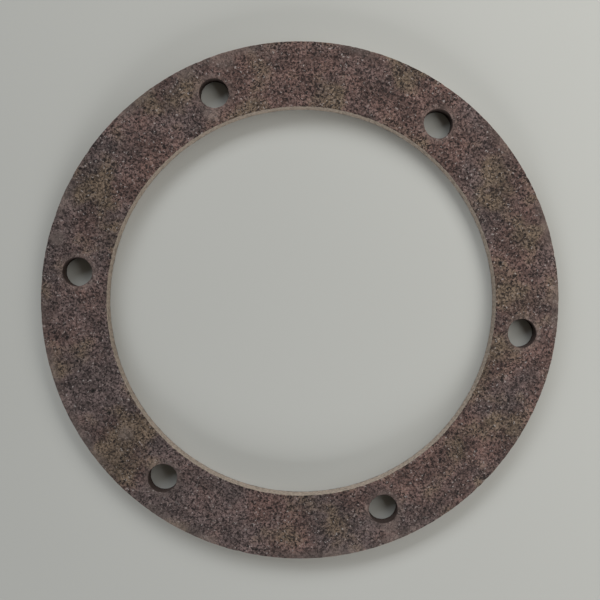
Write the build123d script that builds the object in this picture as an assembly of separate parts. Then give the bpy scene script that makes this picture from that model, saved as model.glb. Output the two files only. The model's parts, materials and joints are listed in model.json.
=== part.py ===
"""Full-face flange gasket: one flat ring die-cut from granular cork-rubber sheet.

Frame: millimetres, +Z up along the axis of the bore. The origin is the centre of the bottom face,
and one bolt hole lies on +X.
"""
import os

from build123d import *

# Sheet and die
thickness = 3.0  # gasket sheet
rolled_edge_radius = 0.25  # top rims, which the die drags down as it enters; it leaves the bottom rims crisp

# Ring, from the bore outwards
bore_diameter = 90.0
inner_land = 3.7  # sheet left between the bore and each bolt hole
bolt_diameter = 6.0
bolt_clearance = 0.6
bolt_count = 6
outer_land = 4.7  # sheet left between each bolt hole and the outer edge

bolt_hole_diameter = bolt_diameter + bolt_clearance
bolt_circle_diameter = bore_diameter + 2 * inner_land + bolt_hole_diameter
outer_diameter = bolt_circle_diameter + bolt_hole_diameter + 2 * outer_land


def die_cut_outline():
    """The flat shape that the die cuts: the ring with its bore and its circle of bolt holes."""
    with BuildSketch() as outline:
        Circle(outer_diameter / 2)
        Circle(bore_diameter / 2, mode=Mode.SUBTRACT)
        with PolarLocations(bolt_circle_diameter / 2, bolt_count):
            Circle(bolt_hole_diameter / 2, mode=Mode.SUBTRACT)
    return outline.sketch


def gasket():
    """The ring at its full thickness, with its top rims rolled over by the die."""
    with BuildPart() as ring:
        add(die_cut_outline())
        extrude(amount=thickness)
        top_rims = ring.edges().filter_by(GeomType.CIRCLE).group_by(Axis.Z)[-1]
        fillet(top_rims, rolled_edge_radius)
    return ring.part


os.makedirs("parts", exist_ok=True)
export_step(gasket(), os.path.join("parts", "gasket.step"))

print(f"outer diameter {outer_diameter:.2f} mm, bolt circle {bolt_circle_diameter:.2f} mm")
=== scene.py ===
"""Looks for the flange gasket: granular cork-rubber sheet with pale, ragged cut edges, on a pale table."""
import json
import math

import bpy
import numpy as np
from mathutils import Matrix, Vector, noise
from mathutils.geometry import delaunay_2d_cdt

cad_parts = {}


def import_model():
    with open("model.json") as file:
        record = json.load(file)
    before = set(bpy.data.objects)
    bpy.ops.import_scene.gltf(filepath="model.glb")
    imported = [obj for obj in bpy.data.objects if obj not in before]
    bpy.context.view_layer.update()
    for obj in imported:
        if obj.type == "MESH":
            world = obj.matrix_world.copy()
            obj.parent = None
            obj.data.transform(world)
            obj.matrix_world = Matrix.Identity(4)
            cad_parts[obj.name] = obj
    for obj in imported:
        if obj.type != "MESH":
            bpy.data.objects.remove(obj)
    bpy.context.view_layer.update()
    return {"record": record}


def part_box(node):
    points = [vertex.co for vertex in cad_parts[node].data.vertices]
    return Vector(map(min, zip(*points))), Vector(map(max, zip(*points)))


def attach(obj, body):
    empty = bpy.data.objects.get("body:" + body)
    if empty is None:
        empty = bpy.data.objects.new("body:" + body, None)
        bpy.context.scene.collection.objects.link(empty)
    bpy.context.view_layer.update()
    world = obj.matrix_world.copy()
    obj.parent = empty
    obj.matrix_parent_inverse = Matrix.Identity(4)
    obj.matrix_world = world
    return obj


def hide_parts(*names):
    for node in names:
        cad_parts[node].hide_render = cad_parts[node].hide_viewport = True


MM = 0.001  # metres

# Mesh of the gasket
TOP_SPACING = 0.36 * MM  # between neighbouring points of the top face
UNDERSIDE_SPACING = 0.5 * MM
RIM_SPACING = 0.38 * MM  # between neighbouring points round a rim
ROLL = 0.25 * MM  # radius of the rolled top rims
ROLL_ROWS = 3
WALL_ROWS = 7
HOLLOW = 0.06 * MM  # how far a cut wall is dished at half its height
BORE_DRIFT = 0.42 * MM  # how far off centre the die cut the bore
DRIFT_HEADING = math.radians(8)

# Relief of the sheet
LUMP_SIZE = 1.1 * MM
LUMP_TOP = 0.7  # value of the lumps' noise that lies in the nominal surface
FACE_RELIEF = 0.05 * MM
CUT_RELIEF = 0.05 * MM
CHIP_SIZE = 1.6 * MM
CHIP_DEPTH = 0.16 * MM
WALL_CHIPS = 0.35  # depth of the chips on a cut wall, beside that of the chips along its rim

# Marks on the face: (heading in degrees, distance from the centre, reach)
SMUDGES = (
    (115, 58.2 * MM, 3.5 * MM),
    (123, 48.4 * MM, 3.0 * MM),
    (124, 59.2 * MM, 3.0 * MM),
    (173, 58.1 * MM, 2.5 * MM),
    (225, 50.8 * MM, 2.5 * MM),
    (300, 55.6 * MM, 3.5 * MM),
)
PITS = (
    (19, 46.9 * MM, 0.8 * MM),
    (211, 52.2 * MM, 0.7 * MM),
    (218, 51.2 * MM, 0.6 * MM),
    (268, 58.7 * MM, 0.6 * MM),
)
PIT_DEPTH = 0.15 * MM

# Map that the colours are baked through
MAP_ROWS = 3  # the ring is unrolled in this many rows
MAP_GAP = 0.8 * MM
MAP_MARGIN = 0.012
HOLE_WALL_SHARE = 0.7  # of a bolt hole wall's depth on the map, where it lies inside its own hole

# Colours of the sheet: linear red, green and blue, and opacity
WARM = (0.145, 0.086, 0.075, 1)
COOL = (0.117, 0.086, 0.084, 1)
OLIVE = (0.131, 0.095, 0.067, 1)
RUBBED = (0.120, 0.097, 0.087, 1)
# Dark end of the grains' tones: dark grains, and painted shade in the gaps between grains
DARK_GRAIN_AND_GAP_SHADE = (0.008, 0.005, 0.005, 1)
RAISED = (0.24, 0.20, 0.185, 1)
PALE_SPECK = (0.33, 0.30, 0.29, 1)
DARK_SPECK = (0.006, 0.004, 0.004, 1)
# Nearly black: painted shade in the dented pits
PIT_SHADE = (0.003, 0.002, 0.002, 1)
CUT = (0.27, 0.225, 0.185, 1)
# Painted shade: the bolt-hole walls, far darker than the pale bore wall
HOLE_WALL_SHADE = (0.030, 0.019, 0.016, 1)
WARM_HEADING = math.radians(50)  # the face is redder this way, greyer the other way

# Scales of the sheet's patterns, per millimetre
WARMTH_SCALE = 0.07
OLIVE_SCALE = 0.1
PATCH_SCALE = 0.2
CLUMP_SCALE = 0.8
WARP_SCALE = 1.6
WARP = 1.1  # millimetres for each unit of the noise that pushes the grains about
GRAIN_SCALE = 2.4
GRAIN_SHADE_SCALE = 2.2
GAP_SHADE_SCALE = 1.9
SPECK_SCALE = 3.7
BUMP_SCALE = 1.2
BUMP_DEPTH = 0.4 * MM

# Share of the grains up to each stop, and how bright they are there beside the sheet
GRAIN_TONES = ((0.0, 0.05), (0.1, 0.4), (0.2, 0.8), (0.8, 1.15), (0.93, 1.35), (1.0, 1.75))

# Camera, from above. The picture's right is +X for it, before the roll.
CAMERA_PLACE = Vector((1.3, 4.6, 156.4)) * MM
CAMERA_PITCH = math.radians(-1.5)
CAMERA_YAW = math.radians(0.4)
CAMERA_ROLL = math.radians(7.86)
FOCAL_LENGTH = 39.8  # millimetres, on a sensor 36 wide

# Room
BACKDROP = (0.45, 0.46, 0.44, 1)
TABLE_COLOURS = (0.42, 0.43, 0.415, 1), (0.43, 0.44, 0.425, 1)
TABLE_RADIUS = 2
FADE = 0.13, 0.35  # between these distances from the middle, the camera sees the table turn into the backdrop
DIM_COLOUR = (1.0, 0.88, 0.72, 1)
DIM_STRENGTH = 0.086

# Lamps: name, heading in the picture and rise in degrees, distance in metres, width and height as shares of
# the distance, radiance, colour
LAMPS = (
    ("window", 115, 30, 1.49, 1.64, 0.31, 6.36, (0.98, 1.0, 1.02)),
    ("far window", 268, 15, 0.61, 0.58, 0.24, 16.2, (1, 1, 1)),
    ("side", 29, 39, 0.25, 2.34, 0.52, 2.78, (1.0, 0.97, 0.92)),
)

OUTER, BORE = 0, 1  # places in the list of rims


class Rim:
    """A cut circle. Its void lies outside it (1) on the outer edge, and inside it (-1) elsewhere."""

    def __init__(self, centre, radius, void):
        self.centre = np.array(centre, float)
        self.radius = radius
        self.void = void
        self.count = round(2 * math.pi * radius / RIM_SPACING)
        angle = np.arange(self.count) * 2 * math.pi / self.count
        self.away = np.stack([np.cos(angle), np.sin(angle)], 1)

    def at(self, out):
        """The rim's points in plan, moved out towards its void."""
        return self.centre + self.away * (self.radius + self.void * out)

    def depth(self, points):
        """How far inside the sheet these points lie, from this rim."""
        return (self.radius - np.linalg.norm(points - self.centre, axis=1)) * self.void


def rims_of(record, outer_radius):
    """The outer edge, the bore and the bolt holes."""
    mounts = {m["name"]: m["dims"] for m in record["mounts"]}
    bolts = mounts["bolts"]
    rims = [Rim((0, 0), outer_radius, 1), Rim((0, 0), mounts["bore"]["r_mm"] * MM, -1)]
    for i in range(bolts["count"]):
        angle = 2 * math.pi * i / bolts["count"]
        centre = np.array([math.cos(angle), math.sin(angle)]) * bolts["pcd_mm"] / 2 * MM
        rims.append(Rim(centre, bolts["hole_r_mm"] * MM, -1))
    return rims


def profile(thickness):
    """A cut edge's section, from the top face down: (out, height, lean of its normal, way travelled)."""
    rows = []
    for k in range(ROLL_ROWS + 1):
        lean = k / ROLL_ROWS * math.pi / 2
        rows.append((ROLL * (math.sin(lean) - 1), thickness - ROLL * (1 - math.cos(lean)), lean, ROLL * lean))
    wall = thickness - ROLL
    for k in range(1, WALL_ROWS + 1):
        down = k / WALL_ROWS
        way = ROLL * math.pi / 2 + wall * down
        rows.append((-HOLLOW * math.sin(math.pi * down), wall * (1 - down), math.pi / 2, way))
    return rows


def scatter(spacing, rims, clear):
    """Points about one spacing apart all over the ring, off a jittered triangular grid, clear of the rims."""
    reach = rims[OUTER].radius
    step = spacing * math.sqrt(3) / 2
    across, up = np.meshgrid(np.arange(-reach, reach, spacing), np.arange(-reach, reach, step))
    across[1::2] += spacing / 2
    points = np.column_stack([across.ravel(), up.ravel()])
    points += np.random.default_rng(7).uniform(-0.22, 0.22, points.shape) * spacing
    for rim in rims:
        points = points[rim.depth(points) > clear + 0.6 * spacing]
    return points


def triangulate(loops, inner, rims, clear):
    """Triangles of the face between closed loops of points. Numbers run through the loops, then inner."""
    flat = np.concatenate(loops + [inner])
    edges, start = [], 0
    for loop in loops:
        edges += [(start + i, start + (i + 1) % len(loop)) for i in range(len(loop))]
        start += len(loop)
    points = [Vector(p) for p in (flat / MM).tolist()]
    found = delaunay_2d_cdt(points, edges, [], 0, 1e-6, True)
    faces = np.array([ids[0] for ids in found[3]])[np.array(found[2])]
    middle = flat[faces].mean(1)
    for rim in rims:
        inside = rim.depth(middle) > clear
        faces, middle = faces[inside], middle[inside]
    return faces


class Ring:
    """The gasket's mesh as it is gathered: points with their normals, and faces by region."""

    def __init__(self):
        self.points = []
        self.normals = []
        self.cut = []
        self.flat = []
        self.faces = []
        self.under = []
        self.size = 0

    def add(self, plan, height, normals, cut=0.0, flat=None):
        """Adds points and returns their numbers. flat is their place when the walls are folded out."""
        n = len(plan)
        self.points.append(np.column_stack([plan, np.full(n, height)]))
        self.normals.append(np.broadcast_to(normals, (n, 3)))
        self.cut.append(np.full(n, cut))
        self.flat.append(plan if flat is None else flat)
        self.size += n
        return np.arange(self.size - n, self.size)

    def face(self, faces, under=False):
        self.faces += faces.tolist()
        self.under += [under] * len(faces)


def gather(rims, thickness):
    """The whole ring: both faces, and the walls of every rim between them."""
    ring = Ring()
    rows = profile(thickness)
    tops, bottoms = [], []
    for i, rim in enumerate(rims):
        share = 1 if i in (OUTER, BORE) else HOLE_WALL_SHARE
        numbers = []
        for out, height, lean, way in rows:
            sideways = rim.away * rim.void * math.sin(lean)
            normals = np.column_stack([sideways, np.full(rim.count, math.cos(lean))])
            cut = math.sin(lean) ** 2
            numbers.append(ring.add(rim.at(out), height, normals, cut, rim.at(share * way - ROLL)))
        for upper, lower in zip(numbers, numbers[1:]):
            quads = np.stack([upper, lower, np.roll(lower, -1), np.roll(upper, -1)], 1)
            ring.face(quads if rim.void > 0 else quads[:, ::-1])
        tops.append(numbers[0])
        bottoms.append(numbers[-1])

    inner = scatter(TOP_SPACING, rims, ROLL)
    numbers = np.concatenate(tops + [ring.add(inner, thickness, (0, 0, 1))])
    ring.face(numbers[triangulate([rim.at(-ROLL) for rim in rims], inner, rims, ROLL)])

    inner = scatter(UNDERSIDE_SPACING, rims, 0)
    numbers = np.concatenate(bottoms + [ring.add(inner, 0, (0, 0, -1))])
    ring.face(numbers[triangulate([rim.at(0) for rim in rims], inner, rims, 0)][:, ::-1], under=True)
    return ring


def map_places(ring, rims, thickness, face_of, corner_of):
    """Each corner's place on the bake map: the ring's section rolled out flat, as rows one above another."""
    wall = ROLL * math.pi / 2 + thickness - ROLL
    start = rims[BORE].radius + ROLL - wall  # radius of the bore wall's foot when it is folded out flat
    turn = rims[OUTER].radius - ROLL + wall  # and of the outer wall's foot
    flat = np.concatenate(ring.flat)[corner_of]
    plan = np.concatenate(ring.points)[corner_of][:, :2]
    under = np.array(ring.under)[face_of]
    flat[under] = plan[under]
    radius = np.linalg.norm(flat, axis=1)
    along = np.where(under, turn - start + rims[OUTER].radius - radius, radius - start)
    row_height = turn - start + rims[OUTER].radius - rims[BORE].radius + MAP_GAP

    count = np.bincount(face_of)
    middle = np.stack([np.bincount(face_of, x) / count for x in flat.T], 1)
    face_angle = np.arctan2(middle[:, 1], middle[:, 0]) % (2 * math.pi)
    row = np.minimum(face_angle * MAP_ROWS // (2 * math.pi), MAP_ROWS - 1)[face_of]
    angle = np.arctan2(flat[:, 1], flat[:, 0])
    angle = face_angle[face_of] + (angle - face_angle[face_of] + math.pi) % (2 * math.pi) - math.pi
    across = 1 - (angle * MAP_ROWS / (2 * math.pi) - row)
    up = (row * row_height + along + MAP_GAP / 2) / (MAP_ROWS * row_height)
    return np.stack([MAP_MARGIN + (1 - 2 * MAP_MARGIN) * across, up], 1)


def smooth_step(x, low, high):
    t = np.clip((x - low) / (high - low), 0, 1)
    return t * t * (3 - 2 * t)


def sampled(points, size, kind):
    """A noise of this wavelength at each point."""
    return np.array([kind(Vector(p)) for p in (points / size).tolist()])


def relief(points, cut):
    """How far the surface stands out: soft lumps on the faces, a torn grain on the cuts.

    It is never above zero, so the lumps' tops lie in the nominal surface.
    """
    lumps = sampled(points, LUMP_SIZE, lambda p: noise.fractal(p, 1.0, 2.0, 2))
    height = (lumps - LUMP_TOP) * (FACE_RELIEF + (CUT_RELIEF - FACE_RELIEF) * cut)
    rim = 4 * cut * (1 - cut)
    chips = smooth_step(sampled(points, CHIP_SIZE, noise.noise), 0.25, 0.6)
    return np.minimum(height, 0) - CHIP_DEPTH * chips * np.maximum(rim, WALL_CHIPS * cut)


def near_marks(points, marks):
    """1 over the middle of a mark, falling to 0 at its reach."""
    share = np.zeros(len(points))
    for heading, distance, reach in marks:
        angle = math.radians(heading)
        place = np.array([math.cos(angle), math.sin(angle)]) * distance
        away = np.linalg.norm(points[:, :2] - place, axis=1)
        share = np.maximum(share, 1 - smooth_step(away, 0.4 * reach, reach))
    return share


def worn(points, rims):
    """Where the face is rubbed smooth: round the bolt holes, at places on the edge, and at the smudges."""
    share = near_marks(points, SMUDGES)
    for rim in rims[2:]:
        share = np.maximum(share, 0.7 - 0.7 * smooth_step(rim.depth(points[:, :2]), 0.5 * MM, 1.8 * MM))
    patchy = smooth_step(sampled(points, 12 * MM, noise.noise), -0.1, 0.3)
    edge = 1 - smooth_step(rims[OUTER].depth(points[:, :2]), 0.4 * MM, 3 * MM)
    return np.maximum(share, patchy * edge)


def drifted(points, rims):
    """The bore, cut a little off centre. The shift fades out at the middle of the ring's width."""
    radius = np.linalg.norm(points[:, :2], axis=1)
    middle = (rims[OUTER].radius + rims[BORE].radius) / 2
    share = 1 - smooth_step(radius, rims[BORE].radius, middle)
    heading = np.array([math.cos(DRIFT_HEADING), math.sin(DRIFT_HEADING), 0]) * BORE_DRIFT
    return points + heading * share[:, None]


def gasket_mesh(rims, thickness):
    ring = gather(rims, thickness)
    points, normals, cut = np.concatenate(ring.points), np.concatenate(ring.normals), np.concatenate(ring.cut)
    dents = near_marks(points, PITS) * (points[:, 2] > thickness - ROLL)
    outward = relief(points, cut) - PIT_DEPTH * dents
    shaped = drifted(points + normals * outward[:, None], rims)
    shaped[:, 2] = np.clip(shaped[:, 2], 0, thickness)

    mesh = bpy.data.meshes.new("gasket_skin")
    mesh.from_pydata(shaped.tolist(), [], ring.faces)
    # Round the bolt holes, where the walls get their painted shade
    bolt = np.max([np.abs(rim.depth(points[:, :2])) < 0.4 * MM for rim in rims[2:]], axis=0)
    for name, values in {"cut": cut, "worn": worn(points, rims), "pit": dents, "bolt": bolt}.items():
        mesh.attributes.new(name, "FLOAT", "POINT").data.foreach_set("value", values.astype(np.float32))
    corner_of = np.empty(len(mesh.loops), np.int32)
    mesh.loops.foreach_get("vertex_index", corner_of)
    sides = np.empty(len(mesh.polygons), np.int32)
    mesh.polygons.foreach_get("loop_total", sides)
    face_of = np.repeat(np.arange(len(sides)), sides)
    layer = mesh.uv_layers.new(name="OFBake")
    places = map_places(ring, rims, thickness, face_of, corner_of)
    layer.uv.foreach_set("vector", places.astype(np.float32).ravel())
    mesh.polygons.foreach_set("use_smooth", np.ones(len(mesh.polygons), bool))
    mesh.validate()
    return mesh


class Graph:
    """Short calls that build one material's nodes."""

    def __init__(self, name):
        self.material = bpy.data.materials.new(name)
        self.material.use_nodes = True
        self.tree = self.material.node_tree
        self.tree.nodes.clear()

    def node(self, kind, inputs, output=0, **settings):
        """Adds a node and returns one of its outputs. An input is a plain value or another node's output."""
        made = self.tree.nodes.new(kind)
        for name, value in settings.items():
            setattr(made, name, value)
        for name, value in inputs.items():
            if isinstance(value, bpy.types.NodeSocket):
                self.tree.links.new(value, made.inputs[name])
            else:
                made.inputs[name].default_value = value
        return None if output is None else made.outputs[output]

    def attribute(self, name):
        return self.node("ShaderNodeAttribute", {}, "Fac", attribute_name=name)

    def noise(self, where, scale, detail=2.0, roughness=0.5):
        inputs = {"Vector": where, "Scale": scale, "Detail": detail, "Roughness": roughness}
        return self.node("ShaderNodeTexNoise", inputs, "Fac")

    def cells(self, where, scale, output="Distance"):
        return self.node("ShaderNodeTexVoronoi", {"Vector": where, "Scale": scale}, output)

    def one_of(self, colour, channel="Red"):
        """One channel of a random colour, as a number from 0 to 1."""
        return self.node("ShaderNodeSeparateColor", {"Color": colour}, channel)

    def math(self, operation, a, b, c=0.0, clamp=False):
        return self.node("ShaderNodeMath", {0: a, 1: b, 2: c}, operation=operation, use_clamp=clamp)

    def ramp(self, value, stops):
        """Grey levels by value: stops are (position, level)."""
        made = self.tree.nodes.new("ShaderNodeValToRGB")
        ramp = made.color_ramp
        ramp.elements.remove(ramp.elements[0])
        ramp.elements[0].position = stops[0][0]
        for position, _ in stops[1:]:
            ramp.elements.new(position)
        for element, (_, level) in zip(ramp.elements, stops):
            element.color = (level, level, level, 1)
        self.tree.links.new(value, made.inputs["Fac"])
        return made.outputs["Color"]

    def finish(self, shader):
        self.node("ShaderNodeOutputMaterial", {"Surface": shader}, None)

    def span(self, value, low, high, to_low=0.0, to_high=1.0):
        inputs = {"Value": value, "From Min": low, "From Max": high, "To Min": to_low, "To Max": to_high}
        return self.node("ShaderNodeMapRange", inputs, interpolation_type="SMOOTHSTEP")

    def mix(self, share, a, b, blend="MIX"):
        inputs = {0: share, 6: a, 7: b}
        return self.node("ShaderNodeMix", inputs, 2, data_type="RGBA", blend_type=blend)


def warped(g, where):
    """The same place, pushed about by up to a grain's width, so that grains have uneven outlines."""
    push = g.node("ShaderNodeTexNoise", {"Vector": where, "Scale": WARP_SCALE, "Detail": 2.0}, "Color")
    centred = g.node("ShaderNodeVectorMath", {0: push, 1: (0.5, 0.5, 0.5)}, operation="SUBTRACT")
    inputs = {0: centred, 1: (WARP,) * 3, 2: where}
    return g.node("ShaderNodeVectorMath", inputs, operation="MULTIPLY_ADD")


def face_colour(g, where, worn):
    """Blotches of maroon, olive and mauve, broken up into grains with painted shade in the gaps between them,
    pale specks and dark pits.
    """
    shifted = g.node("ShaderNodeVectorMath", {0: where, 1: (40, 7, 3)}, operation="ADD")
    towards = (math.cos(WARM_HEADING), math.sin(WARM_HEADING), 0)
    side = g.node("ShaderNodeVectorMath", {0: where, 1: towards}, "Value", operation="DOT_PRODUCT")
    warmth = g.math("MULTIPLY_ADD", side, 0.0016, g.noise(where, WARMTH_SCALE, 3.0))
    base = g.mix(g.span(warmth, 0.36, 0.62), COOL, WARM)
    olive = g.span(g.noise(shifted, OLIVE_SCALE, 3.0), 0.50, 0.66)
    base = g.mix(olive, base, OLIVE)
    base = g.mix(g.math("MULTIPLY", worn, 0.6), base, RUBBED)
    patches = g.span(g.noise(shifted, PATCH_SCALE, 2.0), 0.34, 0.66, 0.72, 1.28)
    clumps = g.span(g.noise(where, CLUMP_SCALE, 2.0), 0.32, 0.68, 0.86, 1.14)
    base = g.mix(1.0, base, g.math("MULTIPLY", patches, clumps), "MULTIPLY")

    where = warped(g, where)
    grain_tone = g.ramp(g.one_of(g.cells(where, GRAIN_SCALE, "Color")), GRAIN_TONES)
    lump_tone = g.span(g.noise(where, GRAIN_SHADE_SCALE, 2.0, 0.7), 0.3, 0.7, 0.55, 1.45)
    rough = g.math("SUBTRACT", 1.0, g.math("MULTIPLY", worn, 0.5))
    # Painted shade: each grain darkens towards its edge, as shade in the gaps between grains
    gap_shade = g.span(g.cells(where, GAP_SHADE_SCALE), 0.5, 0.75, 1.0, 0.25)
    tones = g.math("MULTIPLY", g.math("MULTIPLY", grain_tone, lump_tone), gap_shade)
    dark_grains_and_gap_shade = g.math("MULTIPLY", g.math("SUBTRACT", 1.0, tones, clamp=True), rough)
    raised = g.math("MULTIPLY", g.math("SUBTRACT", tones, 1.0, clamp=True), rough)
    # Darkens the dark grains, and paints shade into the gaps between grains
    grained = g.mix(dark_grains_and_gap_shade, base, DARK_GRAIN_AND_GAP_SHADE)
    grained = g.mix(g.math("MULTIPLY", raised, 0.45), grained, RAISED)

    spots = g.cells(where, SPECK_SCALE, "Color")
    pale = g.math("MULTIPLY", g.span(g.one_of(spots, "Green"), 0.975, 0.985), rough)
    dark = g.math("MULTIPLY", g.span(g.one_of(spots, "Blue"), 0.865, 0.875), rough)
    specked = g.mix(g.math("MULTIPLY", pale, 0.7), grained, PALE_SPECK)
    return g.mix(g.math("MULTIPLY", dark, 0.9), specked, DARK_SPECK)


def cork_rubber():
    """Brown cork-rubber: fine grains in many tones, rubbed smooth in places, and pale where it is cut, with
    painted shade on the bolt-hole walls and in the pits.
    """
    g = Graph("cork_rubber")
    place = g.node("ShaderNodeTexCoord", {}, "Object")
    where = g.node("ShaderNodeVectorMath", {0: place, 1: (1 / MM,) * 3}, operation="MULTIPLY")
    cut = g.attribute("cut")
    worn_share = g.attribute("worn")
    face = face_colour(g, where, worn_share)
    # Painted shade: the dented pits are painted nearly black
    face = g.mix(g.attribute("pit"), face, PIT_SHADE)

    wall_tone = g.span(g.noise(where, 1.8, 3.0), 0.3, 0.7, 0.75, 1.25)
    wall = g.mix(1.0, CUT, wall_tone, "MULTIPLY")
    # Painted shade: the bolt-hole walls are painted far darker than the other cut walls
    wall = g.mix(g.attribute("bolt"), wall, HOLE_WALL_SHADE)
    ragged = g.math("ADD", cut, g.span(g.noise(where, 1.6, 3.0), 0.3, 0.7, -0.25, 0.25))
    colour = g.mix(g.span(ragged, 0.45, 0.75), face, wall)

    swell = g.math("MULTIPLY", g.noise(where, 1.0, 1.0), 0.5)
    lumps = g.math("MULTIPLY_ADD", g.cells(where, BUMP_SCALE), -0.8, swell)
    lumps = g.math("MULTIPLY", lumps, g.math("SUBTRACT", 1.2, worn_share))
    normal = g.node("ShaderNodeBump", {"Strength": 1.0, "Distance": BUMP_DEPTH, "Height": lumps})
    roughness = g.span(g.noise(where, 3.0), 0.3, 0.7, 0.95, 0.75)
    inputs = {"Base Color": colour, "Roughness": roughness, "Normal": normal, "Specular IOR Level": 0.3}
    shader = g.node("ShaderNodeBsdfPrincipled", inputs)
    g.finish(shader)
    return g.material


def turned(vector):
    """From the picture's axes (right, up, towards the camera) to the row frame."""
    return Matrix.Rotation(CAMERA_ROLL, 3, "Z") @ Vector(vector)


def table():
    """The pale table that the gasket lies on. Far from the gasket, the camera sees it as the backdrop."""
    g = Graph("table")
    place = g.node("ShaderNodeTexCoord", {}, "Object")
    mottle = g.noise(place, 9.0, 2.0)
    colour = g.mix(g.span(mottle, 0.3, 0.7), *TABLE_COLOURS)
    shader = g.node("ShaderNodeBsdfPrincipled", {"Base Color": colour, "Roughness": 0.9})
    away = g.node("ShaderNodeVectorMath", {0: place}, "Value", operation="LENGTH")
    seen = g.node("ShaderNodeLightPath", {}, "Is Camera Ray")
    share = g.math("MULTIPLY", g.span(away, *FADE), seen)
    backdrop = g.node("ShaderNodeEmission", {"Color": BACKDROP})
    g.finish(g.node("ShaderNodeMixShader", {0: share, 1: shader, 2: backdrop}))
    bpy.ops.mesh.primitive_circle_add(vertices=64, radius=TABLE_RADIUS, fill_type="NGON")
    floor = bpy.context.object
    floor.name = "table"
    floor.data.materials.append(g.material)


def lamp(name, heading, rise, distance, width, height, level, colour):
    """A soft rectangular lamp that faces the ring. Heading is in the picture; level is its radiance."""
    data = bpy.data.lights.new(name, "AREA")
    data.shape = "RECTANGLE"
    data.size, data.size_y = width * distance, height * distance
    data.color = colour
    data.energy = math.pi * data.size * data.size_y * level
    heading, rise = math.radians(heading), math.radians(rise)
    way = Vector((math.cos(heading) * math.cos(rise), math.sin(heading) * math.cos(rise), math.sin(rise)))
    made = bpy.data.objects.new(name, data)
    made.location = turned(way) * distance
    made.rotation_euler = made.location.to_track_quat("Z", "Y").to_euler()
    made.visible_camera = False
    bpy.context.scene.collection.objects.link(made)


def room():
    """A dim warm world, which the camera sees as a pale backdrop."""
    world = bpy.data.worlds.new("room")
    world.use_nodes = True
    nodes, links = world.node_tree.nodes, world.node_tree.links
    dim = nodes["Background"]
    dim.inputs["Color"].default_value = DIM_COLOUR
    dim.inputs["Strength"].default_value = DIM_STRENGTH
    pale = nodes.new("ShaderNodeBackground")
    pale.inputs["Color"].default_value = BACKDROP
    seen = nodes.new("ShaderNodeLightPath")
    choice = nodes.new("ShaderNodeMixShader")
    links.new(seen.outputs["Is Camera Ray"], choice.inputs[0])
    links.new(dim.outputs[0], choice.inputs[1])
    links.new(pale.outputs[0], choice.inputs[2])
    links.new(choice.outputs[0], nodes["World Output"].inputs["Surface"])
    bpy.context.scene.world = world


def light():
    room()
    for values in LAMPS:
        lamp(*values)


def camera():
    data = bpy.data.cameras.new("camera")
    data.lens = FOCAL_LENGTH
    data.clip_start = 0.01
    made = bpy.data.objects.new("camera", data)
    made.matrix_world = (
        Matrix.Rotation(CAMERA_ROLL, 4, "Z")
        @ Matrix.Translation(CAMERA_PLACE)
        @ Matrix.Rotation(CAMERA_YAW, 4, "Y")
        @ Matrix.Rotation(CAMERA_PITCH, 4, "X")
    )
    bpy.context.scene.collection.objects.link(made)
    bpy.context.scene.camera = made


def main():
    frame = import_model()
    low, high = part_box("gasket")
    rims = rims_of(frame["record"], (high.x - low.x) / 2)
    mesh = gasket_mesh(rims, high.z - low.z)
    mesh.materials.append(cork_rubber())
    skin = bpy.data.objects.new("gasket_skin", mesh)
    bpy.context.scene.collection.objects.link(skin)
    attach(skin, "root")
    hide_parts("gasket")

    table()
    light()
    camera()
    bpy.context.scene.view_settings.view_transform = "Standard"


main()
